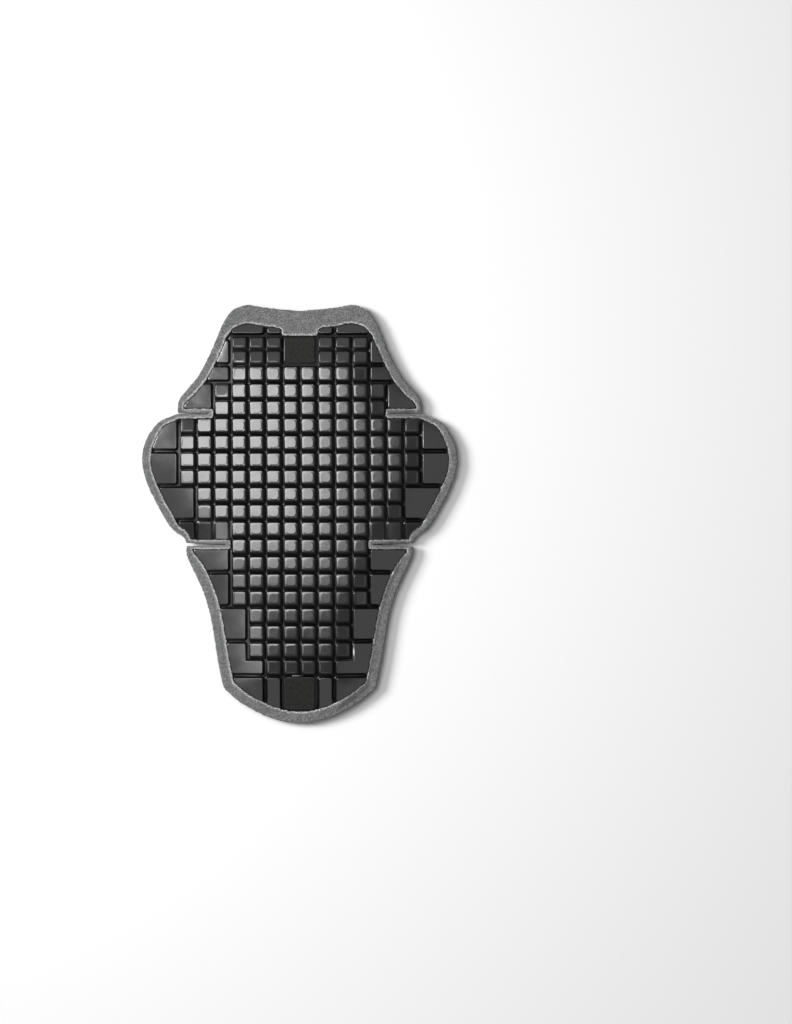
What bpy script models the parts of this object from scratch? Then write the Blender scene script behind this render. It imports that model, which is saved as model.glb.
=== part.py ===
"""Back protector insert: a grey foam pad with a black moulded tile shell set in its front
and a rubber stud layer set in its back.

The pad lies on its studs, in metres. +Z is up and the tiles face it, +Y runs up the back to
the shoulders, and the origin is on the surface below the middle of the pad.
"""
import bisect
import math

import bmesh
import bpy
import numpy as np
from mathutils import Vector

# Tile grid
TILE_PITCH = 0.01725          # from one tile to the next, across and along
FULL_ROWS_TOP = 8.6377        # the top of the first full row above the pad's middle, in pitches
SLOPED_ROWS = (0.8174, 0.8928)  # the two shorter rows above it, in pitches
FULL_ROWS = 18
GROOVE_WIDTH = 0.0042         # between two tile tops
TILE_HEIGHT = 0.0030          # from the groove to the tile top
LOW_TILE_HEIGHT = 0.0012      # the flat outer tiles above the lower slits
SHELL_SKIN = 0.0012           # under the grooves
PATCH_THICKNESS = 0.0010

# Foam pad
FLANGE_LIFT = 0.0045          # from the surface to the underside of the flange
FLANGE_THICKNESS = 0.0050
EDGE_ROUND = 0.0014           # how far the flange's edge is rounded off
CROWN_EDGE = 0.0105           # tile tops beside the border
CROWN_TOP = 0.0200            # tile tops in the middle
HEAD_SHOULDER = 0.041         # how far the crown takes to rise, from the top
SIDE_SHOULDER = 0.042         # from the sides
FOOT_SHOULDER = 0.050         # from the bottom
SHOULDER_ROUNDING = 1.6
SHOULDER_BORDER = 0.0085      # bare foam beside the shell, from the head to the upper slits
WING_BORDER = 0.0082          # between the slits
FOOT_BORDER = 0.0110          # below the lower slits
HEAD_BORDER = 0.0180          # bare foam above the shell
TAB_ROUND = 0.0045            # rounded corner of the shell beside the head's tab
LIP = 0.0045                  # bare foam beside a slit
LIP_RUN = 0.025               # how far from a slit the border is narrower
UPPER_SLIT_RISE = 0.0033      # the upper slit above its row of tiles
LOWER_SLIT_DROP = 0.0070      # the lower slit below its row of tiles
SLIT_GAP = 0.0008
LOWER_SLIT_MOUTH = 0.0036

# Back
STUD_HEIGHT = 0.0028
STUD_PLATE = 0.0012
PANEL_LEVEL = 0.0006          # the back's panels above the stud tips
PANEL_GROOVE_WIDTH = 0.0018
PANEL_GROOVE_DEPTH = 0.0022
FLANGE_RUN = 0.013            # the flange and the slope behind it, seen from the back
LABEL_LENGTH = 0.044

CLEARANCE = 0.0003            # between pieces that touch
SHORTEST_EDGE = 0.0002        # left beside a groove
SHORTEST_STEP = 0.0005        # between points of an outline
CLOSE = 0.0025                # a point of the outline this near to the end of a groove is left out
PARALLEL = 0.02               # sine of the angle under which two edges count as one
STEPS = 2                     # points on the outline for each stretch of its tables
TAB_STEPS = 3                 # points on the rounded corner beside the tab
SLIT_POINTS = (0.35, 0.7, 1.0)  # points on a slit's side, as shares of the way in
NOTCH_ROUND = 0.5             # rounding of the shell's edge round a slit's end, to its lip
BORDER_KEPT = 0.97            # the share of the border that a point moved in has to keep
TOUCHING = 1e-6

# Where the outline passes, in tile pitches from the middle: (across, along)
HEAD_OUTLINE = (
    (0.00, 11.76), (1.20, 11.86), (2.20, 11.98), (3.00, 12.11), (3.50, 12.00), (3.95, 11.76),
    (4.35, 11.22), (4.67, 10.55), (5.10, 9.50), (5.80, 8.12), (6.40, 7.36), (6.93, 6.72),
    (7.06, 6.30),
)
WING_OUTLINE = (
    (7.44, 5.66), (8.15, 5.33), (8.72, 4.64), (9.03, 3.94), (9.13, 3.10), (8.98, 2.20),
    (8.57, 1.16), (7.83, -0.23), (7.32, -0.93), (6.79, -1.28),
)
FOOT_OUTLINE = (
    (6.56, -2.30), (6.28, -3.01), (5.62, -4.41), (5.20, -5.80), (4.95, -7.19), (4.73, -8.58),
    (4.42, -9.97), (4.14, -10.32), (3.29, -11.01), (1.95, -11.71), (0.78, -12.05),
    (0.00, -12.11),
)
SLIT_MOUTHS = (7.05, 6.55)    # across, upper and lower, in tile pitches
HEAD_CORNER = HEAD_OUTLINE[5][0]  # where the top edge turns into the side, in tile pitches
HEAD_BAND_PLACES = (1.6, 2.4, 3.0, 3.5, 3.8)  # the shell's top edge has a point here

# Rows of tiles from the head down. Each line: rows, tiles from the middle to one side, rim tile
ROW_TABLE = (
    (2, 4, 1), (1, 4, 2), (2, 5, 3), (2, 7, 4), (2, 7, 5), (2, 6, 6), (1, 6, 7),
    (2, 4, 8), (2, 4, 9), (2, 3, 10), (1, 3, 11), (1, 2, 11),
)
UPPER_SLIT_ROW = 5
LOWER_SLIT_ROW = 12
PATCH_ROWS = 2
LABEL_COLUMNS = 1.5
LOW_TILES_FROM = 4            # the column where the lower slit row's flat tiles start

# Colour, roughness and metallic value of each material
MATERIALS = {
    "grey_foam": ((0.155, 0.158, 0.160), 0.95, 0.0),
    "black_shell": ((0.012, 0.012, 0.011), 0.26, 0.0),
    "stud_rubber": ((0.014, 0.022, 0.022), 0.35, 0.0),
    "matte_patch": ((0.030, 0.030, 0.029), 0.85, 0.0),
}


def row_edges():
    """Heights of the lines between the rows, from the head down."""
    edge = (FULL_ROWS_TOP + sum(SLOPED_ROWS)) * TILE_PITCH
    edges = [edge]
    for height in SLOPED_ROWS + (1,) * FULL_ROWS:
        edges.append(edges[-1] - height * TILE_PITCH)
    return edges


ROW_EDGES = row_edges()
HALF_COLUMNS = [0] + [half for rows, half, _ in ROW_TABLE for _ in range(rows)]
RIM_TILE = [0] + [rim for rows, _, rim in ROW_TABLE for _ in range(rows)]
LAST_ROW = len(HALF_COLUMNS) - 1
UPPER_SLIT = ROW_EDGES[UPPER_SLIT_ROW] + UPPER_SLIT_RISE
LOWER_SLIT = ROW_EDGES[LOWER_SLIT_ROW] - LOWER_SLIT_DROP
UPPER_NOTCH = HALF_COLUMNS[UPPER_SLIT_ROW] * TILE_PITCH
LOWER_NOTCH = HALF_COLUMNS[LOWER_SLIT_ROW + 1] * TILE_PITCH
LABEL_END = ROW_EDGES[LAST_ROW - 1] - LABEL_LENGTH


def smooth_path(points):
    """Points on a smooth curve through the given ones."""
    path = []
    for index in range(len(points) - 1):
        before = points[max(index - 1, 0)]
        start = points[index]
        end = points[index + 1]
        after = points[min(index + 2, len(points) - 1)]
        for step in range(STEPS):
            t = step / STEPS
            path.append(tuple(
                0.5 * (2 * b + (c - a) * t + (2 * a - 5 * b + 4 * c - d) * t ** 2
                       + (3 * b - a - 3 * c + d) * t ** 3)
                for a, b, c, d in zip(before, start, end, after)))
    path.append(tuple(points[-1]))
    return path


def pitches(points):
    """Points in tile pitches, as metres."""
    return [(x * TILE_PITCH, y * TILE_PITCH) for x, y in points]


def slit_mouths():
    """The four corners of the slits' mouths on one side, from the head down."""
    upper, lower = (mouth * TILE_PITCH for mouth in SLIT_MOUTHS)
    return [
        (upper, UPPER_SLIT + SLIT_GAP / 2), (upper, UPPER_SLIT - SLIT_GAP / 2),
        (lower, LOWER_SLIT + LOWER_SLIT_MOUTH / 2), (lower, LOWER_SLIT - LOWER_SLIT_MOUTH / 2),
    ]


MOUTHS = slit_mouths()
HEAD_PATH = smooth_path(pitches(HEAD_OUTLINE) + [MOUTHS[0]])
WING_PATH = smooth_path([MOUTHS[1]] + pitches(WING_OUTLINE) + [MOUTHS[2]])
FOOT_PATH = smooth_path([MOUTHS[3]] + pitches(FOOT_OUTLINE))
TOP_PATH = [point for point in HEAD_PATH if point[0] <= HEAD_CORNER * TILE_PITCH]
SIDE_PATH = HEAD_PATH[len(TOP_PATH):] + WING_PATH + FOOT_PATH


def half_width(y):
    """Half the pad's width at one height, across its slits."""
    heights = [-point[1] for point in SIDE_PATH]
    return float(np.interp(-y, heights, [point[0] for point in SIDE_PATH]))


def head_height(x):
    """The top edge of the pad over one place."""
    across = [point[0] for point in TOP_PATH]
    return float(np.interp(abs(x), across, [point[1] for point in TOP_PATH]))


def shoulder(reach, width, rounding):
    """How much of the crown's rise is reached at one distance from the border."""
    share = min(max(reach / width, 0.0), 1.0)
    return 1.0 - (1.0 - share) ** rounding


def crown(x, y):
    """Height of the tile tops over one place of the pad."""
    side = half_width(y) - WING_BORDER - abs(x)
    head = HEAD_OUTLINE[0][1] * TILE_PITCH - HEAD_BORDER - y
    foot = y - FOOT_OUTLINE[-1][1] * TILE_PITCH - FOOT_BORDER
    share = min(
        shoulder(side, SIDE_SHOULDER, SHOULDER_ROUNDING),
        shoulder(head, HEAD_SHOULDER, 1.0),
        shoulder(foot, FOOT_SHOULDER, SHOULDER_ROUNDING),
    )
    return CROWN_EDGE + (CROWN_TOP - CROWN_EDGE) * share


def bed(x, y):
    """Height of the foam under the shell."""
    return crown(x, y) - TILE_HEIGHT - SHELL_SKIN - CLEARANCE


def flange_top(x, y):
    """Height of the bare foam on the front, which rises beside the slits."""
    return crown(x, y) - CROWN_EDGE + FLANGE_LIFT + FLANGE_THICKNESS


def edge_distance(x, y):
    """Rough distance from one place to the pad's edge, across its slits."""
    return min(half_width(y) - abs(x), head_height(x) - y, y - FOOT_PATH[-1][1])


def underside(x, y):
    """Height of the back's panels, which rise to the flange."""
    share = min(max(1.0 - edge_distance(x, y) / FLANGE_RUN, 0.0), 1.0)
    return PANEL_LEVEL + (FLANGE_LIFT - PANEL_LEVEL) * share


def slit_path(mouth, tip, slit, far_mouth):
    """Both sides of a slit, in from one corner of its mouth and out to the other."""
    path = []
    for corner, side in ((mouth, 1), (far_mouth, -1)):
        stretch = [
            (corner[0] + (tip - corner[0]) * share,
             corner[1] + (slit + side * SLIT_GAP / 2 - corner[1]) * share)
            for share in SLIT_POINTS
        ]
        path += stretch if side > 0 else stretch[::-1]
    return path


def pad_half():
    """Right half of the pad's outline, from the head down."""
    return (HEAD_PATH
            + slit_path(MOUTHS[0], UPPER_NOTCH + LIP, UPPER_SLIT, MOUTHS[1])
            + WING_PATH
            + slit_path(MOUTHS[2], LOWER_NOTCH + LIP, LOWER_SLIT, MOUTHS[3])
            + FOOT_PATH)


def inset_path(path, width):
    """A path of the pad's outline, moved in by its border, which narrows beside the slits."""
    moved = []
    for index, (x, y) in enumerate(path):
        ahead = path[min(index + 1, len(path) - 1)]
        behind = path[max(index - 1, 0)]
        along = Vector((ahead[0] - behind[0], ahead[1] - behind[1])).normalized()
        if x == 0.0:
            along = Vector((-1.0, 0.0))
        near = min(abs(y - UPPER_SLIT), abs(y - LOWER_SLIT))
        border = LIP + (width - LIP) * min(1.0, near / LIP_RUN)
        point = (x + along.y * border, y - along.x * border)
        if min(math.dist(point, other) for other in path) > BORDER_KEPT * border:
            moved.append(point)
    return moved


def between(path, high, low):
    """The part of a path between two heights, with its ends on them."""
    kept = []
    for (x0, y0), (x1, y1) in zip(path, path[1:]):
        for limit in (high, low):
            if (y0 - limit) * (y1 - limit) < 0:
                kept.append((x0 + (x1 - x0) * (limit - y0) / (y1 - y0), limit))
        if low < y1 < high:
            kept.append((x1, y1))
    return kept


def notch_path(end, slit):
    """The shell's edge round the inner end of a slit."""
    turn = LIP * NOTCH_ROUND
    return [(end + turn, slit + LIP), (end, slit + LIP - turn),
            (end, slit - LIP + turn), (end + turn, slit - LIP)]


def shell_half():
    """Right half of the pocket that the shell lies in, from the head down."""
    top = ROW_EDGES[0]
    tab = TILE_PITCH
    corner = head_height(tab) - HEAD_BORDER
    path = [(tab, top)]
    for step in range(1, TAB_STEPS + 1):
        angle = math.pi / 2 * step / TAB_STEPS
        path.append((tab + TAB_ROUND * (1 - math.cos(angle)),
                     top + (corner - top) * math.sin(angle)))
    for across in HEAD_BAND_PLACES:
        x = across * TILE_PITCH
        path.append((x, head_height(x) - HEAD_BORDER))
    path += between(inset_path(HEAD_PATH, SHOULDER_BORDER), top, UPPER_SLIT + LIP)
    path += notch_path(UPPER_NOTCH, UPPER_SLIT)
    wing = inset_path(WING_PATH, WING_BORDER)
    path += between(wing, UPPER_SLIT - LIP, LOWER_SLIT + LIP)
    path += notch_path(LOWER_NOTCH, LOWER_SLIT)
    foot = inset_path(FOOT_PATH, FOOT_BORDER)
    path += between(foot[:-1], LOWER_SLIT - LIP, foot[-1][1]) + [foot[-1]]
    return path


def sheet(half_path):
    """A flat face inside an outline, given by its right half."""
    half = half_path[:1]
    for point in half_path[1:]:
        if math.dist(point, half[-1]) > SHORTEST_STEP:
            half.append(point)
    outline = [(-x, y) for x, y in half if x > 0.0] + half[::-1]
    mesh = bmesh.new()
    face = mesh.faces.new([mesh.verts.new((x, y, 0.0)) for x, y in outline])
    face.normal_update()
    if face.normal.z < 0:
        face.normal_flip()
    return mesh


def cut(mesh, columns, rows):
    """Cut a flat sheet along lines across it and up it."""
    lines = [(x * TILE_PITCH, 0.0, (1, 0, 0)) for x in columns]
    lines += [(0.0, y, (0, 1, 0)) for y in rows]
    for x, y, normal in lines:
        geometry = mesh.verts[:] + mesh.edges[:] + mesh.faces[:]
        bmesh.ops.bisect_plane(
            mesh, geom=geometry, dist=TOUCHING, plane_co=(x, y, 0.0), plane_no=normal)
    bmesh.ops.remove_doubles(mesh, verts=mesh.verts[:], dist=SHORTEST_STEP)


def merge(mesh, key_at):
    """Join the faces of a cut sheet that have the same key, and return each face's key."""
    keys = {}
    for face in mesh.faces:
        centre = face.calc_center_median()
        keys[face.index] = key_at(centre.x, centre.y)
    inner = [edge for edge in mesh.edges if len(edge.link_faces) == 2
             and keys[edge.link_faces[0].index] == keys[edge.link_faces[1].index]]
    marks = mesh.faces.layers.int.new("key")
    names = sorted(set(keys.values()), key=str)
    for face in mesh.faces:
        face[marks] = names.index(keys[face.index])
    bmesh.ops.dissolve_edges(mesh, edges=inner, use_verts=True)
    close = [vertex for vertex in mesh.verts if len(vertex.link_edges) == 2 and any(
        edge.calc_length() < CLOSE and len(edge.other_vert(vertex).link_edges) > 2
        for edge in vertex.link_edges)]
    bmesh.ops.dissolve_verts(mesh, verts=close)
    return {face: names[face[marks]] for face in mesh.faces}


def row_at(y):
    """Row of tiles at one height: 0 is the head band, and past the last row the foot band."""
    return sum(1 for edge in ROW_EDGES if y < edge)


def row_beside_slits(x, y):
    """Row of a place in the rim, where the slits part the rows instead of the tile lines."""
    row = row_at(y)
    if abs(x) > UPPER_NOTCH and row == UPPER_SLIT_ROW and y < UPPER_SLIT:
        return row + 1
    if abs(x) > LOWER_NOTCH and row == LOWER_SLIT_ROW + 1 and y > LOWER_SLIT:
        return row - 1
    return row


def tile_key(x, y):
    """Which tile of the shell one place belongs to."""
    row = row_beside_slits(x, y)
    side = math.copysign(1, x)
    column = math.floor(x / TILE_PITCH)
    if row == 0 or row > LAST_ROW:
        band = "head" if row == 0 else "foot"
        across = min(int(abs(x) / TILE_PITCH), 2)
        return (band, "patch") if across == 0 else (band, across, side)
    if abs(x) > HALF_COLUMNS[row] * TILE_PITCH:
        return ("rim", RIM_TILE[row], side)
    if row <= PATCH_ROWS and abs(x) < TILE_PITCH:
        return ("head", "patch")
    if row == LOWER_SLIT_ROW and abs(x) > LOW_TILES_FROM * TILE_PITCH:
        return ("low", column, side)
    return ("tile", row, column)


def panel_key(x, y):
    """Which panel of the back one place belongs to, or its field of studs."""
    row = row_at(y)
    side = math.copysign(1, x)
    if abs(x) < LABEL_COLUMNS * TILE_PITCH and LABEL_END < y < ROW_EDGES[LAST_ROW - 1]:
        return ("label",)
    if row == 0:
        across = min(int(abs(x) / TILE_PITCH), 2)
        return ("head", across, side if across else 0)
    if row > LAST_ROW:
        return ("foot", side if abs(x) > 2 * TILE_PITCH else 0)
    if abs(x) < HALF_COLUMNS[row] * TILE_PITCH:
        return ("studs",)
    return ("rim", RIM_TILE[row_beside_slits(x, y)], side)


def shell_cells():
    """The shell's flat pattern, cut into its tiles, with each tile's key."""
    mesh = sheet(shell_half())
    widest = max(HALF_COLUMNS)
    cut(mesh, range(-widest, widest + 1), ROW_EDGES)
    return mesh, merge(mesh, tile_key)


def back_cells():
    """The pad's flat back, cut into its panels and its field of studs."""
    mesh = sheet(pad_half())
    widest = max(HALF_COLUMNS)
    columns = list(range(-widest, widest + 1)) + [-LABEL_COLUMNS, LABEL_COLUMNS]
    cut(mesh, columns, ROW_EDGES + [LABEL_END])
    return mesh, merge(mesh, panel_key)


def shrink(mesh, distance):
    """Move the edge of a flat sheet in by one distance."""
    inward = {}
    for edge in mesh.edges:
        if len(edge.link_faces) != 1:
            continue
        loop = edge.link_loops[0]
        along = loop.link_loop_next.vert.co - loop.vert.co
        normal = Vector((-along.y, along.x, 0.0)).normalized()
        for vertex in edge.verts:
            inward.setdefault(vertex, []).append(normal)
    for vertex, (first, second) in inward.items():
        vertex.co += distance * (first + second) / (1.0 + first.dot(second))


def copied(mesh, faces):
    """Copy some faces of a mesh, and return the copied faces and old vertex to new."""
    result = bmesh.ops.duplicate(mesh, geom=faces)
    new_faces = [item for item in result["geom"] if isinstance(item, bmesh.types.BMFace)]
    vertices = {vertex for face in faces for vertex in face.verts}
    return new_faces, {vertex: result["vert_map"][vertex] for vertex in vertices}


def wall(mesh, edges, vertex_map):
    """Faces between the edge of a sheet and the edge of its copy."""
    for first, second in edges:
        mesh.faces.new((first, vertex_map[first], vertex_map[second], second))


def open_edges(mesh):
    """Vertex pairs of a sheet's open edges."""
    return [tuple(edge.verts) for edge in mesh.edges if len(edge.link_faces) == 1]


def meeting(first, first_along, second, second_along):
    """Where two lines meet, or a place between them if they are parallel."""
    cross = first_along.cross(second_along)
    if abs(cross) < PARALLEL:
        return second
    return first + first_along * ((second - first).cross(second_along) / cross)


def inset_corners(points, width):
    """Corners of a flat outline moved in by one width: one for each point, and neighbours
    share a corner where the edge between them is too short to be left."""
    count = len(points)
    along = [(points[(i + 1) % count] - points[i]).normalized() for i in range(count)]
    moved = [points[i] + Vector((-along[i].y, along[i].x)) * width for i in range(count)]
    kept = list(range(count))
    while len(kept) > 2:
        corners = [meeting(moved[kept[k - 1]], along[kept[k - 1]], moved[edge], along[edge])
                   for k, edge in enumerate(kept)]
        lengths = [(corners[(k + 1) % len(kept)] - corners[k]).dot(along[edge])
                   for k, edge in enumerate(kept)]
        shortest = lengths.index(min(lengths))
        if lengths[shortest] > SHORTEST_EDGE:
            return [corners[bisect.bisect_left(kept, i) % len(kept)] for i in range(count)]
        kept.pop(shortest)
    return None


def inset(mesh, face, width):
    """Draw a rim of one width inside a flat face, and return the face in the middle of it."""
    outer = list(face.verts)
    corners = inset_corners([vertex.co.xy for vertex in outer], width)
    if corners is None:
        return None
    inner = []
    for index, corner in enumerate(corners):
        if index and corner == corners[index - 1]:
            inner.append(inner[-1])
        elif index and corner == corners[0]:
            inner.append(inner[0])
        else:
            inner.append(mesh.verts.new((corner.x, corner.y, 0.0)))
    mesh.faces.remove(face)
    for index, vertex in enumerate(outer):
        ring = [outer[index - 1], vertex, inner[index]]
        if inner[index - 1] is not inner[index]:
            ring.append(inner[index - 1])
        mesh.faces.new(ring)
    return mesh.faces.new(list(dict.fromkeys(inner)))


def add_object(name, mesh, material_name):
    """Turn a mesh into a named object with its material."""
    bmesh.ops.recalc_face_normals(mesh, faces=mesh.faces[:])
    if mesh.calc_volume(signed=True) < 0.0:
        bmesh.ops.reverse_faces(mesh, faces=mesh.faces[:])
    data = bpy.data.meshes.new(name)
    mesh.to_mesh(data)
    mesh.free()
    body = bpy.data.objects.new(name, data)
    bpy.context.scene.collection.objects.link(body)
    colour, roughness, metallic = MATERIALS[material_name]
    material = bpy.data.materials.get(material_name) or bpy.data.materials.new(material_name)
    material.use_nodes = True
    shader = material.node_tree.nodes["Principled BSDF"]
    shader.inputs["Base Color"].default_value = (*colour, 1.0)
    shader.inputs["Roughness"].default_value = roughness
    shader.inputs["Metallic"].default_value = metallic
    data.materials.append(material)
    return body


def patch_plane(key):
    """Height and slope along of the flat tile under a patch: (y, z) at both its ends."""
    high, low = patch_reach(key)
    return (high, crown(0.0, high)), (low, crown(0.0, low))


def patch_reach(key):
    """Top and bottom of the cell that holds a patch."""
    if key[0] == "head":
        return ROW_EDGES[0], ROW_EDGES[PATCH_ROWS]
    return ROW_EDGES[-1], inset_path(FOOT_PATH, FOOT_BORDER)[-1][1]


def patch_height(key, y):
    """Height of a patch's flat top at one place along the pad."""
    (y0, z0), (y1, z1) = patch_plane(key)
    return z0 + (z1 - z0) * (y - y0) / (y1 - y0)


def tile_top(key, x, y):
    """Height of a tile's top at one place."""
    if key[1] == "patch":
        return patch_height(key, y) - PATCH_THICKNESS - CLEARANCE
    if key[0] == "low":
        return crown(x, y) - TILE_HEIGHT + LOW_TILE_HEIGHT
    return crown(x, y)


def front_shell():
    """The moulded skin: a bottom that follows the foam, and a tile over each cell."""
    mesh, keys = shell_cells()
    cells = list(mesh.faces)
    edges = open_edges(mesh)
    below, vertex_map = copied(mesh, cells)
    bmesh.ops.triangulate(mesh, faces=below)
    shrink(mesh, CLEARANCE)
    for high, low in vertex_map.items():
        low.co.z = bed(low.co.x, low.co.y) + CLEARANCE
        high.co.z = low.co.z + SHELL_SKIN
    for face in cells:
        key = keys[face]
        tile = inset(mesh, face, GROOVE_WIDTH / 2)
        for vertex in tile.verts if tile else ():
            vertex.co.z = tile_top(key, vertex.co.x, vertex.co.y)
    wall(mesh, edges, vertex_map)
    add_object("front_shell", mesh, "black_shell")


def foam_base():
    """The pad: its back's panels, its edge, the flange and the bed under the shell."""
    mesh, keys = back_cells()
    panels = list(mesh.faces)
    outline = [vertex for vertex in mesh.verts if vertex.is_boundary]
    rim_edges = open_edges(mesh)
    studs = [face for face in panels if keys[face] == ("studs",)]
    field = {vertex for face in studs for vertex in face.verts}
    for vertex in mesh.verts:
        level = underside(vertex.co.x, vertex.co.y)
        on_outline = vertex in outline
        vertex.co.z = level + (EDGE_ROUND if on_outline else PANEL_GROOVE_DEPTH)
        if vertex in field:
            vertex.co.z = STUD_HEIGHT
    for face in panels:
        key = keys[face]
        panel = None if face in studs else inset(mesh, face, PANEL_GROOVE_WIDTH / 2)
        for vertex in panel.verts if panel else ():
            flat = key == ("label",)
            vertex.co.z = 0.0 if flat else underside(vertex.co.x, vertex.co.y)
    recess = bmesh.ops.extrude_discrete_faces(mesh, faces=studs)["faces"]
    for face in recess:
        for vertex in face.verts:
            vertex.co.z = STUD_HEIGHT + STUD_PLATE + CLEARANCE

    outer = {vertex: mesh.verts.new((vertex.co.x, vertex.co.y, 0.0)) for vertex in outline}
    wall(mesh, rim_edges, outer)

    cells, _ = shell_cells()
    bmesh.ops.triangulate(cells, faces=cells.faces[:])
    low = {vertex: mesh.verts.new((vertex.co.x, vertex.co.y, bed(vertex.co.x, vertex.co.y)))
           for vertex in cells.verts}
    for face in cells.faces:
        mesh.faces.new([low[vertex] for vertex in face.verts])
    pocket = [(low[first], low[second]) for first, second in open_edges(cells)]
    inner = {vertex: mesh.verts.new((vertex.co.x, vertex.co.y, 0.0))
             for vertex in {corner for pair in pocket for corner in pair}}
    cells.free()
    wall(mesh, pocket, inner)

    loops = [mesh.edges.get((outer[first], outer[second])) for first, second in rim_edges]
    loops += [mesh.edges.get((inner[first], inner[second])) for first, second in pocket]
    bmesh.ops.triangle_fill(mesh, edges=loops, use_beauty=True, normal=(0, 0, 1))
    for vertex in outer.values():
        vertex.co.z = flange_top(vertex.co.x, vertex.co.y) - EDGE_ROUND
    for vertex in inner.values():
        vertex.co.z = flange_top(vertex.co.x, vertex.co.y)
    add_object("foam_base", mesh, "grey_foam")


def stud_layer():
    """The rubber layer in the back: a thin plate with a pointed stud in each half pitch."""
    mesh, keys = back_cells()
    others = [face for face in mesh.faces if keys[face] != ("studs",)]
    bmesh.ops.delete(mesh, geom=others, context="FACES")
    widest = 2 * max(HALF_COLUMNS)
    middles = [(high + low) / 2 for high, low in zip(ROW_EDGES, ROW_EDGES[1:])]
    cut(mesh, [column / 2 for column in range(-widest, widest + 1)], ROW_EDGES + middles)
    shrink(mesh, CLEARANCE)
    cells = list(mesh.faces)
    edges = open_edges(mesh)
    above, vertex_map = copied(mesh, cells)
    for low, high in vertex_map.items():
        low.co.z = STUD_HEIGHT
        high.co.z = STUD_HEIGHT + STUD_PLATE
    bmesh.ops.dissolve_faces(mesh, faces=above)
    tips = bmesh.ops.poke(mesh, faces=cells)["verts"]
    for tip in tips:
        tip.co.z = 0.0
    wall(mesh, edges, vertex_map)
    add_object("stud_layer", mesh, "stud_rubber")


def patch(name, key):
    """A flat textured pad on its own tile of the shell."""
    high, low = patch_reach(key)
    side = TILE_PITCH - GROOVE_WIDTH / 2
    high -= GROOVE_WIDTH / 2
    low += GROOVE_WIDTH / 2 + (0.0 if key[0] == "head" else CLEARANCE)
    mesh = bmesh.new()
    corners = [(-side, low), (side, low), (side, high), (-side, high)]
    face = mesh.faces.new([
        mesh.verts.new((x, y, patch_height(key, y))) for x, y in corners])
    above = bmesh.ops.extrude_face_region(mesh, geom=[face], use_keep_orig=True)["geom"]
    for item in above:
        if isinstance(item, bmesh.types.BMVert):
            item.co.z -= PATCH_THICKNESS
    add_object(name, mesh, "matte_patch")


def clear_scene():
    """Start from an empty scene."""
    for item in list(bpy.data.objects):
        bpy.data.objects.remove(item, do_unlink=True)


def build():
    """Model the whole insert."""
    clear_scene()
    foam_base()
    front_shell()
    stud_layer()
    patch("head_patch", ("head", "patch"))
    patch("foot_patch", ("foot", "patch"))


build()
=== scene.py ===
"""The back protector insert as it looks: felt-like foam, glossy tiles, rubber studs and patches."""

import math

import bmesh
import bpy
import numpy as np
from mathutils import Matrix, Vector, noise
from mathutils.geometry import delaunay_2d_cdt
from mathutils.kdtree import KDTree


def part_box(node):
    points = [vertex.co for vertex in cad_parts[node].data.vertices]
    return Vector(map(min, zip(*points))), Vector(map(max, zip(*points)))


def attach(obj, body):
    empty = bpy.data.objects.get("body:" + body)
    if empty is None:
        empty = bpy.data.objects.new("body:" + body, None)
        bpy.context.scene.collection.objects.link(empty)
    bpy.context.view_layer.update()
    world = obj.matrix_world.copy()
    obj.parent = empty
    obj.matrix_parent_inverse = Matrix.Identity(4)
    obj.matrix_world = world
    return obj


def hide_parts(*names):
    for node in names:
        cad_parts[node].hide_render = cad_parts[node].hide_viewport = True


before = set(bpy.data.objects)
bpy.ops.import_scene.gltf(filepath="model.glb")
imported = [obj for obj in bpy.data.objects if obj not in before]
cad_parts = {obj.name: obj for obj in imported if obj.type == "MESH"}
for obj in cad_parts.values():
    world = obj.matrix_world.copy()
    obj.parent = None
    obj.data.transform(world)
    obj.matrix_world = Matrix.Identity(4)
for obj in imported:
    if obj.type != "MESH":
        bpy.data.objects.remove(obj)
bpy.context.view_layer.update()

# Tile grid, in metres
TILE_PITCH = 0.01725
FULL_ROWS_TOP = 8.6377        # in pitches
SLOPED_ROWS = (0.8174, 0.8928)  # in pitches
FULL_ROWS = 18
GROOVE_WIDTH = 0.0048         # between the crisp edges of two tiles
TILE_HEIGHT = 0.0030
LOW_TILE_HEIGHT = 0.0012
SHELL_SKIN = 0.0012
PATCH_THICKNESS = 0.0010

# Foam pad
FLANGE_LIFT = 0.0045
FLANGE_THICKNESS = 0.0050
CROWN_EDGE = 0.0105
CROWN_TOP = 0.0200
HEAD_SHOULDER = 0.041
SIDE_SHOULDER = 0.042
FOOT_SHOULDER = 0.050
SHOULDER_ROUNDING = 1.6
SHOULDER_BORDER = 0.0085
WING_BORDER = 0.0082
FOOT_BORDER = 0.0110
HEAD_BORDER = 0.0180
TAB_ROUND = 0.0045
TAB_STEPS = 6
LIP = 0.0045
LIP_RUN = 0.025
UPPER_SLIT_RISE = 0.0033
LOWER_SLIT_DROP = 0.0070
SLIT_GAP = 0.0008
LOWER_SLIT_MOUTH = 0.0036

# Back
STUD_HEIGHT = 0.0028
STUD_PLATE = 0.0012
PANEL_LEVEL = 0.0006
PANEL_GROOVE_WIDTH = 0.0018
PANEL_GROOVE_DEPTH = 0.0022
FLANGE_FLAT = 0.0085          # width of the flange's level underside
FLANGE_RUN = 0.013
LABEL_LENGTH = 0.044

CLEARANCE = 0.0003
SHORTEST_STEP = 0.0005
PARALLEL = 0.02
STEPS = 8                     # points for each stretch of the outline's tables

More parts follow.
